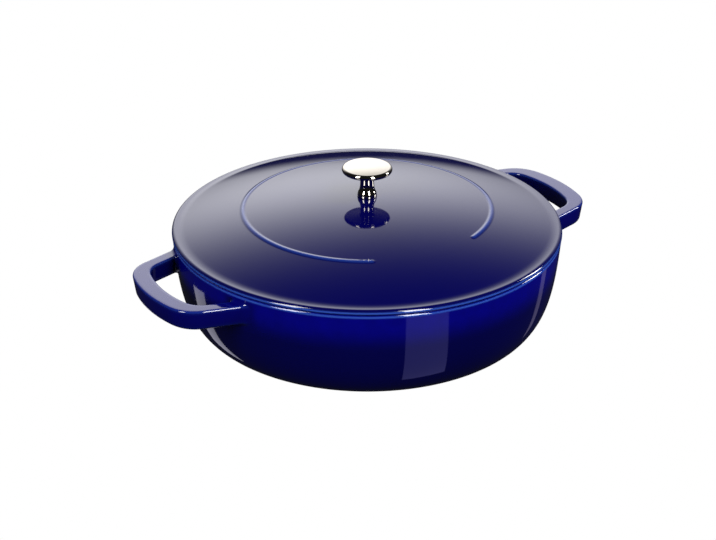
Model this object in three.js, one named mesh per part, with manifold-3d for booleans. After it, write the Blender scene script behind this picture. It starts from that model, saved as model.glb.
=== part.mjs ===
// Enamelled cast-iron saute pan with a loose domed lid. The bowl and its two loop handles are one casting, the lid
// is a second casting, and a turned metal knob is screwed to the lid from below over two washers.
// Millimetres, +Z up. The origin is on the standing face, under the middle of the pan; the handles lie along X.
import * as THREE from 'three';
import { mergeVertices } from 'three/addons/utils/BufferGeometryUtils.js';
import Module from 'manifold-3d';

const wasm = await Module();
wasm.setup();

// Bowl
const panRadius = 144.9; // outside of the rim
const panHeight = 76.4; // standing face to rim
const baseRadius = 104; // flat standing face
const wallThickness = 4.5;
const baseThickness = 5;
const sideDrop = 44.4; // depth below the rim over which the wall stays nearly upright
const sideLean = 3.5; // how far the wall leans in over that depth
const sideSweep = 34; // run over which the side leaves the standing face
const rimRound = 2.1; // rounding of both edges of the rim

// Loop handles
const handleReach = 39; // from the outside of the rim to the front of the loop
const handleSpan = 77; // between the corners of the loop, on the centreline
const rootSpan = 97; // between the arms where they meet the wall
const handleHeight = 15.6;
const handleBelowRim = 6.4; // from the rim down to the flat top of the handle
const barWidth = 13.5; // front bar
const armWidth = 10; // side arms
const frontBow = 3.2; // how far the front bar bows outwards
const cornerRun = 13; // length of a corner's curve along the arm, and along the front bar
const handleDraft = 1.6; // lean of each side, from the top edge in to the bottom edge
const topEdgeRound = 1.7;
const bottomEdgeRound = 3;
const rootFlare = 2; // growth of the arm's section where it runs into the wall
const rootLength = 5; // length of arm over which that growth dies out

// Lid
const seatGap = 0.3; // between parts that rest on each other
const lidOverhang = 0.4; // past the outside of the rim
const lidThickness = 3.5;
const flangeThickness = 3.5;
const flangeWidth = 6.6; // flat edge round the dome
const flangeFillet = 3; // hollow run-out from the dome to the flange
const edgeRound = 2.6; // rounding of the flange's upper edge
const underRound = 0.6; // rounding of its lower edge
const domeRise = 21.1; // from the flange to the knob's seat
const guideClearance = 1.2; // between the wall and the ring that centres the lid
const guideThickness = 3;
const guideDepth = 5; // how far that ring hangs into the pan
const beadRadius = 92.5; // raised bead on the dome
const beadWidth = 4.4;
const beadHeight = 0.55;
const beadGap = 54; // degrees left open at the front
const beadGapMiddle = -93.6; // degrees from +X: the lid lies a little turned on the pan
const nubFirstRadius = 36; // innermost ring of basting nubs under the dome
const nubPitch = 26; // from one ring of nubs to the next
const nubSpacing = 42; // along a ring
const nubRadius = 3.2;
const nubHeight = 3;

// Knob
const knobHeight = 24.1;
const headRadius = 18.7;
const headThickness = 5; // rounded rim of the head
const crownRise = 0.8; // bulge of the head's top
const headCone = 0.8; // rise of the head's underside, from the neck out to the rim
const neckRadius = 5.2;
const neckHeight = 12; // where the flared foot has narrowed to the neck
const neckFillet = 1.8; // hollow corner between the neck and the head
const footRadius = 7.7;
const footRound = 0.5; // rounding of the foot's edge on the lid

// Screw and washers
const screwRadius = 3; // M6
const screwReach = 11; // length of screw inside the knob
const boreEnd = 1.5; // room past the end of the screw
const boltClearance = 0.3; // round the screw, in the knob and in the washers
const lidHoleClearance = 0.5; // round the screw, in the lid
const bossRadius = 10; // flat pad under the lid for the washers
const bossHeight = 0.8;
const flatWasherRadius = 7;
const flatWasherThickness = 1.2;
const springWasherWidth = 2.2;
const springWasherThickness = 1.6;
const springWasherSplit = 20; // degrees
const screwHeadRadius = 5.5;
const screwHeadHeight = 3.5;
const screwHeadRound = 1.4;
const screwSlotWidth = 1.6;
const screwSlotDepth = 1.6;

// Facets
const castingFacets = 60;
const knobFacets = 32;
const screwFacets = 24;
const nubFacets = 6;
const arcStep = 30; // degrees
const sideSteps = 10;
const domeSteps = 5;
const filletSteps = 3;
const handleSteps = 44;
const beadSteps = 50;
const beadFacets = 8;
const washerSteps = 24;

const lidRadius = panRadius + lidOverhang;
const flangeUnder = panHeight + seatGap;
const flangeTop = flangeUnder + flangeThickness;
const domeFoot = lidRadius - flangeWidth;
const domeTop = flangeTop + domeRise;
const sphereRadius = (domeFoot ** 2 + domeRise ** 2) / (2 * domeRise);
const guideOuter = panRadius - wallThickness - guideClearance;
const guideInner = guideOuter - guideThickness;
const guideBottom = flangeUnder - guideDepth;
const bossFace = domeTop - lidThickness - bossHeight;
const boreRadius = screwRadius + boltClearance;

const { degToRad, lerp, clamp } = THREE.MathUtils;
const point = (x, y) => new THREE.Vector2(x, y);

// Arc of a circle in a profile, from one angle to another, in degrees.
function arc(x, y, radius, from, to) {
  const curve = new THREE.EllipseCurve(x, y, radius, radius, degToRad(from), degToRad(to), to < from);
  return curve.getPoints(Math.round(Math.abs(to - from) / arcStep));
}

// Closed body from a geometry, with shared vertices merged and the slivers on an axis of revolution dropped.
function solid(geometry) {
  geometry.deleteAttribute('normal');
  geometry.deleteAttribute('uv');
  const merged = mergeVertices(geometry, 1e-5);
  const corners = merged.index.array;
  const triangles = [];
  for (let i = 0; i < corners.length; i += 3) {
    const [a, b, c] = corners.slice(i, i + 3);
    if (a !== b && b !== c && c !== a) {
      triangles.push(a, b, c);
    }
  }
  const mesh = new wasm.Mesh({
    numProp: 3,
    vertProperties: new Float32Array(merged.attributes.position.array),
    triVerts: new Uint32Array(triangles),
  });
  return new wasm.Manifold(mesh);
}

// Body of revolution about Z. The profile runs from the lower end of the axis outwards and up to its upper end.
function revolve(profile, facets) {
  const geometry = new THREE.LatheGeometry(profile, facets);
  geometry.rotateX(Math.PI / 2);
  return solid(geometry);
}

// Skin through a row of rings of equally many points, closed by a fan of triangles at each end. Seen by someone
// who looks along the row, each ring runs counter-clockwise.
function loft(rings) {
  const size = rings[0].length;
  const positions = rings.flat().flatMap((p) => [p.x, p.y, p.z]);
  const index = [];
  for (let i = 0; i + 1 < rings.length; i += 1) {
    for (let j = 0; j < size; j += 1) {
      const a = i * size + j;
      const b = i * size + (j + 1) % size;
      index.push(a, b + size, b, a, a + size, b + size);
    }
  }
  const last = (rings.length - 1) * size;
  for (let j = 1; j + 1 < size; j += 1) {
    index.push(0, j, j + 1, last, last + j + 1, last + j);
  }
  const geometry = new THREE.BufferGeometry();
  geometry.setAttribute('position', new THREE.Float32BufferAttribute(positions, 3));
  geometry.setIndex(index);
  return solid(geometry);
}

// Side of the bowl, from the standing face out and up to the rim.
const side = new THREE.CubicBezierCurve(
  point(baseRadius, 0),
  point(baseRadius + sideSweep, 0),
  point(panRadius - sideLean, panHeight - sideDrop),
  point(panRadius, panHeight - rimRound),
);

function bowl() {
  const profile = [
    point(0, 0),
    ...side.getPoints(sideSteps),
    ...arc(panRadius - rimRound, panHeight - rimRound, rimRound, 0, 90).slice(1),
    point(0, panHeight),
  ];
  return revolve(profile, castingFacets);
}

// Space inside the bowl: the side moved inwards by the wall, which thickens towards the base.
function cavity() {
  const inner = [];
  for (let i = 0; i <= sideSteps; i += 1) {
    const t = i / sideSteps;
    const tangent = side.getTangent(t);
    const inwards = point(-tangent.y, tangent.x);
    inner.push(side.getPoint(t).addScaledVector(inwards, lerp(baseThickness, wallThickness, t)));
  }
  const lip = panRadius - wallThickness + rimRound;
  const mouth = panHeight + rimRound;
  const profile = [
    point(0, baseThickness),
    ...inner,
    ...arc(lip, panHeight - rimRound, rimRound, 180, 90).slice(1),
    point(lip, mouth),
    point(0, mouth),
  ];
  return revolve(profile, castingFacets);
}

// Section of a handle, counter-clockwise: flat on top, sides leaning in, and edges rounded more below than above.
function handleSection(width) {
  const top = width / 2;
  const bottom = top - handleDraft;
  const low = -handleHeight / 2;
  const high = handleHeight / 2;
  return [
    ...arc(bottom - bottomEdgeRound, low + bottomEdgeRound, bottomEdgeRound, -90, 0),
    ...arc(top - topEdgeRound, high - topEdgeRound, topEdgeRound, 0, 90),
    ...arc(topEdgeRound - top, high - topEdgeRound, topEdgeRound, 90, 180),
    ...arc(bottomEdgeRound - bottom, low + bottomEdgeRound, bottomEdgeRound, 180, 270),
  ];
}

// Loop handle at +X: its section is carried round a bowed U in plan and grows where the arms run into the wall.
function handle() {
  const front = panRadius + handleReach - barWidth / 2;
  const corner = point(0, handleSpan / 2);
  const bowEnd = point(front - frontBow, corner.y - cornerRun);
  corner.x = bowEnd.x - (cornerRun * 2 * frontBow) / bowEnd.y;
  const root = point(Math.sqrt(panRadius ** 2 - (rootSpan / 2) ** 2), rootSpan / 2);
  const along = corner.clone().sub(root).normalize();
  const buried = root.clone().addScaledVector(along, -2 * wallThickness);
  const armEnd = corner.clone().addScaledVector(along, -cornerRun);
  const path = new THREE.Path();
  path.moveTo(buried.x, -buried.y);
  path.lineTo(armEnd.x, -armEnd.y);
  path.quadraticCurveTo(corner.x, -corner.y, bowEnd.x, -bowEnd.y);
  path.quadraticCurveTo(front + frontBow, 0, bowEnd.x, bowEnd.y);
  path.quadraticCurveTo(corner.x, corner.y, armEnd.x, armEnd.y);
  path.lineTo(buried.x, buried.y);
  const middle = panHeight - handleBelowRim - handleHeight / 2;
  const rings = [];
  for (let i = 0; i <= handleSteps; i += 1) {
    const centre = path.getPoint(i / handleSteps);
    const heading = path.getTangent(i / handleSteps);
    const across = point(heading.y, -heading.x);
    const fromWall = clamp((centre.length() - panRadius) / rootLength, 0, 1);
    const growth = rootFlare * (1 - fromWall) ** 2;
    const frontness = clamp((centre.x - armEnd.x) / (bowEnd.x - armEnd.x), 0, 1);
    const width = lerp(armWidth, barWidth, frontness);
    const wider = 1 + (2 * growth) / width;
    const taller = 1 + (2 * growth) / handleHeight;
    rings.push(handleSection(width).map((p) => {
      const place = centre.clone().addScaledVector(across, p.x * wider);
      return new THREE.Vector3(place.x, place.y, middle + p.y * taller);
    }));
  }
  return loft(rings);
}

function pan() {
  const loop = handle();
  return bowl().add(loop).add(loop.rotate([0, 0, 180])).subtract(cavity());
}

// Height of the dome's outside at a distance from the axis, and of its underside.
const domeHeight = (r) => domeTop - sphereRadius + Math.sqrt(sphereRadius ** 2 - r ** 2);
const underHeight = (r) => domeTop - sphereRadius + Math.sqrt((sphereRadius - lidThickness) ** 2 - r ** 2);

// Equally spaced points on the dome or its underside, from one distance from the axis to another.
function domeProfile(height, from, to) {
  const profile = [];
  for (let i = 0; i <= domeSteps; i += 1) {
    const r = lerp(from, to, i / domeSteps);
    profile.push(point(r, height(r)));
  }
  return profile;
}

function lidShell() {
  const seatRadius = footRadius;
  const fillet = new THREE.QuadraticBezierCurve(
    point(domeFoot + flangeFillet, flangeTop),
    point(domeFoot, flangeTop),
    point(domeFoot - flangeFillet, domeHeight(domeFoot - flangeFillet)),
  );
  const profile = [
    point(0, bossFace),
    point(bossRadius, bossFace),
    ...domeProfile(underHeight, bossRadius + bossHeight, guideInner),
    point(guideInner, guideBottom),
    point(guideOuter, guideBottom),
    point(guideOuter, flangeUnder),
    ...arc(lidRadius - underRound, flangeUnder + underRound, underRound, -90, 0),
    ...arc(lidRadius - edgeRound, flangeTop - edgeRound, edgeRound, 0, 90),
    ...fillet.getPoints(filletSteps),
    ...domeProfile(domeHeight, domeFoot - flangeFillet, seatRadius).slice(1),
    point(0, domeHeight(seatRadius)),
  ];
  return revolve(profile, castingFacets);
}

// Raised bead: a low round-backed rib that follows the dome and stops, with rounded ends, either side of the front.
// Its lower half is sunk well into the lid.
function bead() {
  const start = degToRad(beadGapMiddle + beadGap / 2);
  const sweep = degToRad(360 - beadGap);
  const endRun = beadWidth / 2 / beadRadius / sweep;
  const rings = [];
  for (let i = 0; i <= beadSteps; i += 1) {
    const t = i / beadSteps;
    const angle = start + sweep * t;
    const toEnd = clamp(Math.min(t, 1 - t) / endRun, 0, 1);
    const swell = lerp(0.4, 1, toEnd);
    const ring = [];
    for (let j = 0; j < beadFacets; j += 1) {
      const turn = (2 * Math.PI * (j + 0.5)) / beadFacets;
      const r = beadRadius + (beadWidth / 2) * swell * Math.cos(turn);
      const thickness = Math.sin(turn) > 0 ? beadHeight : lidThickness / 2;
      const z = domeHeight(r) + thickness * swell * Math.sin(turn);
      ring.push(new THREE.Vector3(r * Math.cos(angle), r * Math.sin(angle), z));
    }
    rings.push(ring);
  }
  return loft(rings);
}

// Blunt nubs in rings under the dome, from which condensed steam drips back.
function nubs() {
  const single = revolve([
    point(0, -nubHeight),
    point(nubRadius / 2, -0.8 * nubHeight),
    point(nubRadius, 0),
    point(nubRadius, lidThickness / 2),
    point(0, lidThickness / 2),
  ], nubFacets);
  const all = [];
  for (let r = nubFirstRadius; r + 2 * nubRadius < guideInner; r += nubPitch) {
    const count = Math.round((2 * Math.PI * r) / nubSpacing);
    for (let i = 0; i < count; i += 1) {
      const angle = (2 * Math.PI * i) / count;
      all.push(single.translate([r * Math.cos(angle), r * Math.sin(angle), underHeight(r)]));
    }
  }
  return all;
}

function lid() {
  const holeRadius = screwRadius + lidHoleClearance;
  const hole = revolve([
    point(0, bossFace - bossHeight),
    point(holeRadius, bossFace - bossHeight),
    point(holeRadius, domeTop + bossHeight),
    point(0, domeTop + bossHeight),
  ], screwFacets);
  const body = nubs().reduce((whole, nub) => whole.add(nub), lidShell().add(bead()));
  return body.subtract(hole);
}

const knobSeat = domeHeight(footRadius) + seatGap;

// Turned knob: a foot that flares out of a slim neck, a flat round-edged head, and a blind bore for the screw.
function knob() {
  const foot = knobSeat;
  const headUnder = foot + knobHeight - crownRise - headThickness;
  const rimMiddle = headUnder + headThickness / 2;
  const rimRadius = headThickness / 2 - headCone / 2;
  const boreTop = foot + screwReach - seatGap + boreEnd;
  const flare = new THREE.QuadraticBezierCurve(
    point(footRadius, foot + footRound),
    point(neckRadius, foot + neckHeight / 2),
    point(neckRadius, foot + neckHeight),
  );
  const fillet = new THREE.QuadraticBezierCurve(
    point(neckRadius, headUnder - neckFillet),
    point(neckRadius, headUnder),
    point(neckRadius + neckFillet, headUnder),
  );
  const rim = arc(headRadius - rimRadius, rimMiddle + headCone / 2, rimRadius, -90, 90);
  const crown = new THREE.QuadraticBezierCurve(
    rim[rim.length - 1],
    point(headRadius / 2, foot + knobHeight),
    point(0, foot + knobHeight),
  );
  const profile = [
    point(0, boreTop),
    point(boreRadius, boreTop),
    point(boreRadius, foot),
    ...arc(footRadius - footRound, foot + footRound, footRound, -90, 0),
    ...flare.getPoints(2 * filletSteps).slice(1),
    ...fillet.getPoints(filletSteps),
    ...rim,
    ...crown.getPoints(filletSteps).slice(1),
  ];
  return revolve(profile, knobFacets);
}

const flatWasherTop = bossFace - seatGap;
const springWasherTop = flatWasherTop - flatWasherThickness - seatGap;
const screwHeadTop = springWasherTop - springWasherThickness - seatGap;

function flatWasher() {
  const bottom = flatWasherTop - flatWasherThickness;
  const profile = [
    point(boreRadius, bottom),
    point(flatWasherRadius, bottom),
    point(flatWasherRadius, flatWasherTop),
    point(boreRadius, flatWasherTop),
    point(boreRadius, bottom),
  ];
  return revolve(profile, screwFacets);
}

// Split ring of square wire, drawn flat by the tightened screw.
function springWasher() {
  const sweep = degToRad(360 - springWasherSplit);
  const outer = boreRadius + springWasherWidth;
  const bottom = springWasherTop - springWasherThickness;
  const rings = [];
  for (let i = 0; i <= washerSteps; i += 1) {
    const angle = (sweep * i) / washerSteps;
    const at = (r, z) => new THREE.Vector3(r * Math.cos(angle), r * Math.sin(angle), z);
    rings.push([
      at(boreRadius, bottom),
      at(outer, bottom),
      at(outer, springWasherTop),
      at(boreRadius, springWasherTop),
    ]);
  }
  return loft(rings);
}

// Round-headed screw with a straight slot.
function knobScrew() {
  const headBottom = screwHeadTop - screwHeadHeight;
  const tip = knobSeat + screwReach - seatGap;
  const profile = [
    point(0, headBottom),
    ...arc(screwHeadRadius - screwHeadRound, headBottom + screwHeadRound, screwHeadRound, -90, 0),
    point(screwHeadRadius, screwHeadTop),
    point(screwRadius, screwHeadTop),
    point(screwRadius, tip),
    point(0, tip),
  ];
  const slotLength = 3 * screwHeadRadius;
  const slot = new THREE.BoxGeometry(slotLength, screwSlotWidth, 2 * screwSlotDepth);
  slot.translate(0, 0, headBottom);
  return revolve(profile, screwFacets).subtract(solid(slot));
}

const blueEnamel = { color: 0x10146e, roughness: 0.12, metalness: 0 };
const polishedNickel = { color: 0xd9d7d2, roughness: 0.08, metalness: 1 };
const zincedSteel = { color: 0x9b9c9e, roughness: 0.4, metalness: 1 };

function piece(name, body, finish) {
  const { vertProperties, triVerts } = body.getMesh();
  const geometry = new THREE.BufferGeometry();
  geometry.setAttribute('position', new THREE.BufferAttribute(vertProperties, 3));
  geometry.setIndex(new THREE.BufferAttribute(triVerts, 1));
  geometry.computeVertexNormals();
  const mesh = new THREE.Mesh(geometry, new THREE.MeshStandardMaterial(finish));
  mesh.name = name;
  return mesh;
}

const lidAssembly = new THREE.Group();
lidAssembly.add(
  piece('lid', lid(), blueEnamel),
  piece('knob', knob(), polishedNickel),
  piece('knob_screw', knobScrew(), zincedSteel),
  piece('flat_washer', flatWasher(), zincedSteel),
  piece('spring_washer', springWasher(), zincedSteel),
);

const sautePan = new THREE.Group();
sautePan.add(piece('pan', pan(), blueEnamel), lidAssembly);

export default sautePan;
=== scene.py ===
import math

import bpy
import numpy as np
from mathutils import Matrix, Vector


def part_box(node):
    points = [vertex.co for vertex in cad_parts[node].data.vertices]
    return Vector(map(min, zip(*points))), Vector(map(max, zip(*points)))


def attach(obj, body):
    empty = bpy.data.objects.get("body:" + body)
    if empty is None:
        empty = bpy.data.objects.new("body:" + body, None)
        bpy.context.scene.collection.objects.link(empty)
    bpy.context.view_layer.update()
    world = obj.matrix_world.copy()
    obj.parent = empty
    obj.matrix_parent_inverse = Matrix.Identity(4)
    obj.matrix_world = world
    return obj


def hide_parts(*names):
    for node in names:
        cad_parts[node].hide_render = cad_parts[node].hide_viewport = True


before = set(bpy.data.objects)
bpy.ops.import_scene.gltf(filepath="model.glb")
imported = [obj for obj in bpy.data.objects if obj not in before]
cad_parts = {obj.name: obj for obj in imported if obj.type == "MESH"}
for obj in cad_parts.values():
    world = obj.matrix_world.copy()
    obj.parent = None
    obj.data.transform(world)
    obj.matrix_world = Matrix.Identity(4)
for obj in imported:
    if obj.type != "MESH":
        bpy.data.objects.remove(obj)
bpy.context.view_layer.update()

# Pan: one iron casting, the bowl with its two loop handles, poured in a sand mould and blasted clean. It is
# fired with matt black ground enamel all over, then with clear deep blue enamel outside, up to the rim. The
# handles run out of the wall through hollow fillets. Sizes here and below are in millimetres.
MM = 0.001
pan_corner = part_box("pan")[1]
rim_radius = pan_corner.y / MM
rim_height = pan_corner.z / MM
rim_round = 2.1
wall_thickness = 4.5
base_thickness = 5.0
base_radius = 104.0
side_top = (rim_radius, rim_height - rim_round)
side_controls = np.array([(base_radius, 0.0), (138.0, 0.0), (141.4, 32.0), side_top])  # of the side's curve
bowl_columns = 360  # one degree each
lower_steps = 40  # rings on the side below the handles
inside_steps = 36
standing_rings = (14, 32, 52, 70, 84, 94, 100)  # radii of the mesh's rings on the flat faces
cooking_rings = (100, 94, 83, 66, 45, 25, 10)
lip_thin = (0.5, 1, 0.7, 0.15, 0, 0, 0, 0)  # how far the enamel has drawn thin, from the wall over the lip

handle_reach = pan_corner.x / MM - rim_radius  # from the rim to the front of the loop
handle_span = 77.0  # between the corners of the loop
root_span = 97.0  # between the arms where they meet the wall
bar_height = 15.6
bar_drop = 6.4  # from the rim down to the top of the bar
bar_middle = rim_height - bar_drop - bar_height / 2
bar_width = 13.5
arm_width = 10.0
front_bow = 3.2
corner_run = 13.0
bar_draft = 1.6  # lean of each side of the bar, so that it leaves the sand
bar_top_round = 1.4
bar_bottom_round = 3.0
bar_top_thin = 0.22  # how far the enamel has drawn thin over the edges
bar_bottom_thin = 0.1
root_fillet = 3.0  # hollow fillet between arm and wall, a little flatter above and below the arm
root_fillet_height = 0.8
inner_grain_and_shade = 1.65  # coarser cast grain and painted shade on the inner sides of the loops, 1 elsewhere on the handles
fillet_steps = 8
arm_steps = 6
corner_steps = 14
bow_steps = 22

# Each arm grows out of a window in the wall's mesh. It is as many cells wide as a side of the bar's section.
window_cells = 13
window_columns = (13, 26)  # degrees from the middle of the handle
window_bottom = 50.0
window_top = 73.6
window_heights = np.linspace(window_bottom, window_top, window_cells + 1)
edge_points = 7
flat_points = window_cells - edge_points  # on each flat of the section, between two rounded edges


def side_points(t):
    """Points of the bowl's side, from the standing face (0) up to the rim (1), and their inward normals."""
    t = np.asarray(t)[:, None]
    a, b, c, d = side_controls
    points = (1 - t) ** 3 * a + 3 * t * (1 - t) ** 2 * b + 3 * t ** 2 * (1 - t) * c + t ** 3 * d
    slope = 3 * (1 - t) ** 2 * (b - a) + 6 * t * (1 - t) * (c - b) + 3 * t ** 2 * (d - c)
    slope /= np.linalg.norm(slope, axis=1, keepdims=True)
    return points, np.stack([-slope[:, 1], slope[:, 0]], 1)


def arc(r, z, radius, first, last, steps):
    """Arc of a profile about (r, z), from one direction to another, in degrees."""
    turn = np.radians(np.linspace(first, last, steps + 1))
    return np.stack([r + radius * np.cos(turn), z + radius * np.sin(turn)], 1)


side_fine = np.linspace(0, 1, 2001)
side_line = side_points(side_fine)[0]


def wall_radius(z):
    return np.interp(z, side_line[:, 1], side_line[:, 0])


# The bowl's profile runs from the middle of the standing face out, up the wall, over the rim and back inside.
lower_end = np.interp(window_bottom, side_line[:, 1], side_fine)
standing_face = np.array([(r, 0.0) for r in standing_rings])
lower_side = side_points(np.linspace(0, lower_end, lower_steps + 1)[:-1])[0]
upper_side = np.stack([wall_radius(window_heights), window_heights], 1)
outer_lip = arc(rim_radius - rim_round, rim_height - rim_round, rim_round, 0, 90, len(lip_thin) - 1)
inner_lip = arc(rim_radius - wall_thickness + rim_round, rim_height - rim_round, rim_round, 90, 180, 6)
inside_t = np.linspace(1, 0, inside_steps + 1)[1:]
inside_line, inwards = side_points(inside_t)
inside = inside_line + inwards * (base_thickness + (wall_thickness - base_thickness) * inside_t)[:, None]
cooking_face = np.array([(r, base_thickness) for r in cooking_rings])
bowl_profile = np.concatenate([
    standing_face, lower_side, upper_side, outer_lip, inner_lip, inside, cooking_face,
])
window_row = len(standing_face) + len(lower_side)
lip_row = window_row + len(upper_side)
black_row = lip_row + len(outer_lip) - 1

angles = np.radians(np.arange(bowl_columns))
rounds = np.stack([np.cos(angles), np.sin(angles)], 1)
bowl_points = np.concatenate([
    bowl_profile[:, None, :1] * rounds[None],
    np.repeat(bowl_profile[:, None, 1:], bowl_columns, 1),
], 2).reshape(-1, 3)
bowl_thin = np.zeros((len(bowl_profile), bowl_columns))
bowl_thin[lip_row:lip_row + len(lip_thin)] = np.array(lip_thin)[:, None]

window_starts = [half * 180 + first for half in (0, 1) for first in (-window_columns[1], window_columns[0])]
in_window = {
    (window_row + row, (start + column) % bowl_columns)
    for start in window_starts for row in range(window_cells) for column in range(window_cells)
}
faces = []
coats = []  # 0 blue, 1 black
for row in range(len(bowl_profile) - 1):
    black = row < len(standing_face) - 1 or row >= black_row
    for column in range(bowl_columns):
        if (row, column) not in in_window:
            here = row * bowl_columns + column
            beside = row * bowl_columns + (column + 1) % bowl_columns
            faces.append((here, beside, beside + bowl_columns, here + bowl_columns))
            coats.append(int(black))
last_ring = (len(bowl_profile) - 1) * bowl_columns
poles = [len(bowl_points), len(bowl_points) + 1]
for column in range(bowl_columns):
    beside = (column + 1) % bowl_columns
    faces.append((poles[0], beside, column))
    faces.append((poles[1], last_ring + column, last_ring + beside))
    coats += [1, 1]
points = [bowl_points, np.array([(0, 0, 0), (0, 0, base_thickness)])]
thin = [bowl_thin.ravel(), np.zeros(2)]
grain_and_shade = [np.zeros(len(bowl_points) + 2)]


def bar_section(width):
    """Section of a handle bar, counter-clockwise from the middle of its lower outer edge: points, outward
    normals, and how far the enamel has drawn thin over the rounded edges."""
    half, low, high = width / 2, -bar_height / 2, bar_height / 2
    lean = math.degrees(math.atan2(bar_draft, bar_height - bar_top_round - bar_bottom_round))
    foot = half - bar_draft - bar_bottom_round
    edges = [
        (foot, low + bar_bottom_round, bar_bottom_round, -90, -lean, bar_bottom_thin),
        (half - bar_top_round, high - bar_top_round, bar_top_round, -lean, 90, bar_top_thin),
        (bar_top_round - half, high - bar_top_round, bar_top_round, 90, 180 + lean, bar_top_thin),
        (-foot, low + bar_bottom_round, bar_bottom_round, 180 + lean, 270, bar_bottom_thin),
    ]
    arcs = [arc(*edge[:5], edge_points - 1) for edge in edges]
    section, normals, drawn = [], [], []
    for k, edge in enumerate(edges):
        first, last, edge_thinness = edge[3:]
        turn = np.radians(np.linspace(first, last, edge_points))
        flat = np.linspace(arcs[k][-1], arcs[(k + 1) % 4][0], flat_points + 2)[1:-1]
        section += [arcs[k], flat]
        across = np.stack([np.cos(turn), np.sin(turn)], 1)
        normals += [across, np.repeat(across[-1:], flat_points, 0)]
        fading = np.sin(np.linspace(0.25, math.pi - 0.25, edge_points))
        drawn += [edge_thinness * fading, np.zeros(flat_points)]
    start = -(edge_points // 2)
    return [np.roll(np.concatenate(part), start, axis=0) for part in (section, normals, drawn)]


# Centreline of the loop in plan, from one arm round the bowed front to the other.
front = rim_radius + handle_reach - bar_width / 2
bow_end = np.array([front - front_bow, handle_span / 2 - corner_run])
corner = np.array([bow_end[0] - corner_run * 2 * front_bow / bow_end[1], handle_span / 2])
root = np.array([math.sqrt(rim_radius ** 2 - (root_span / 2) ** 2), root_span / 2])
outwards = (corner - root) / np.linalg.norm(corner - root)
arm_end = corner - outwards * corner_run
flip = np.array([1, -1])


def quadratic(a, b, c, steps):
    t = np.linspace(0, 1, steps + 1)[:, None]
    return (1 - t) ** 2 * a + 2 * t * (1 - t) * b + t ** 2 * c, (1 - t) * (b - a) + t * (c - b)


curves = [
    quadratic(arm_end * flip, corner * flip, bow_end * flip, corner_steps),
    quadratic(bow_end * flip, np.array([front + front_bow, 0]), bow_end, bow_steps),
    quadratic(bow_end, corner, arm_end, corner_steps),
]
centres = np.concatenate([curves[0][0], curves[1][0][1:], curves[2][0][1:]])
headings = np.concatenate([curves[0][1], curves[1][1][1:], curves[2][1][1:]])
headings /= np.linalg.norm(headings, axis=1, keepdims=True)
loop_rings = []
for centre, heading in zip(centres, headings):
    frontness = np.clip((centre[0] - arm_end[0]) / (bow_end[0] - arm_end[0]), 0, 1)
    section = bar_section(arm_width + (bar_width - arm_width) * frontness)[0]
    across = np.array([heading[1], -heading[0]])
    loop_rings.append(np.column_stack([centre + section[:, :1] * across, bar_middle + section[:, 1]]))

# Arm: from its foot on the wall, through the fillet, to the corner. Every point runs along the arm.
arm_section, arm_normals, edge_thin = bar_section(arm_width)
heading = outwards * flip
across = np.array([heading[1], -heading[0]])


def arm_ring(growth, off_wall):
    """Section grown by the fillet, each point slid along the arm to that distance off the wall."""
    grown = arm_section + growth * arm_normals * (1, root_fillet_height)
    height = bar_middle + grown[:, 1]
    line = root * flip + grown[:, :1] * across
    along = line @ heading
    run = np.sqrt(along ** 2 - (line ** 2).sum(1) + (wall_radius(height) + off_wall) ** 2) - along
    return np.column_stack([line + run[:, None] * heading, height])


fillet_turn = np.radians(np.linspace(90, 0, fillet_steps + 1))
arm_rings = [
    arm_ring(root_fillet * (1 - math.cos(turn)), root_fillet * (1 - math.sin(turn))) for turn in fillet_turn
]
arm_start = arm_rings[-1]
arm_rings += [arm_start + (loop_rings[0] - arm_start) * k / arm_steps for k in range(1, arm_steps)]
mirrored_arm = [ring * (1, -1, 1) for ring in reversed(arm_rings)]
rings = np.array(arm_rings + loop_rings + mirrored_arm)
ring_thin = np.repeat(edge_thin[None], len(rings), 0)
ring_size = len(edge_thin)
for k in range(len(fillet_turn)):
    ring_thin[k] *= k / len(fillet_turn)
    ring_thin[-1 - k] *= k / len(fillet_turn)


def window_loop(outer, inner):
    """Points round a window in the wall, in the order of the bar's section, from outer to inner column."""
    top = window_row + window_cells
    step = 1 if inner > outer else -1
    up = [(row, outer) for row in range(window_row, top)]
    over = [(top, column) for column in range(outer, inner, step)]
    down = [(row, inner) for row in range(top, window_row, -1)]
    back = [(window_row, column) for column in range(inner, outer, -step)]
    return [row * bowl_columns + column % bowl_columns for row, column in up + over + down + back]


def bridge(first, second):
    """Skin between two loops of points."""
    for k in range(ring_size):
        beyond = (k + 1) % ring_size
        faces.append((first[k], second[k], second[beyond], first[beyond]))
        coats.append(0)


# The cast grain is coarser on the inner sides of the loops, and painted shade darkens the enamel there, where
# the loops face the wall.
ring_grain_and_shade = np.where(arm_normals[:, 0] < -0.5, inner_grain_and_shade, 1.0)
near, far = window_columns
for half_turn, sign in ((0, 1), (180, -1)):
    start = sum(len(block) for block in points)
    points.append((rings * (sign, sign, 1)).reshape(-1, 3))
    thin.append(ring_thin.ravel())
    grain_and_shade.append(np.tile(ring_grain_and_shade, len(rings)))
    loops = [list(range(start + k * ring_size, start + (k + 1) * ring_size)) for k in range(len(rings))]
    loops.insert(0, window_loop(half_turn - far, half_turn - near))
    loops.append(window_loop(half_turn + far, half_turn + near))
    for first, second in zip(loops, loops[1:]):
        bridge(first, second)


def linear(code):
    """Linear colour of an sRGB hex value."""
    channels = [int(code[k:k + 2], 16) / 255 for k in (1, 3, 5)]
    return [c / 12.92 if c <= 0.04045 else ((c + 0.055) / 1.055) ** 2.4 for c in channels] + [1.0]


def add(tree, kind, inputs=None, **settings):
    """Adds a node with its settings; each input is a value or another node's output."""
    node = tree.nodes.new(kind)
    for name, value in settings.items():
        setattr(node, name, value)
    for name, value in (inputs or {}).items():
        if isinstance(value, bpy.types.NodeSocket):
            tree.links.new(value, node.inputs[name])
        else:
            node.inputs[name].default_value = value
    return node


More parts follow.
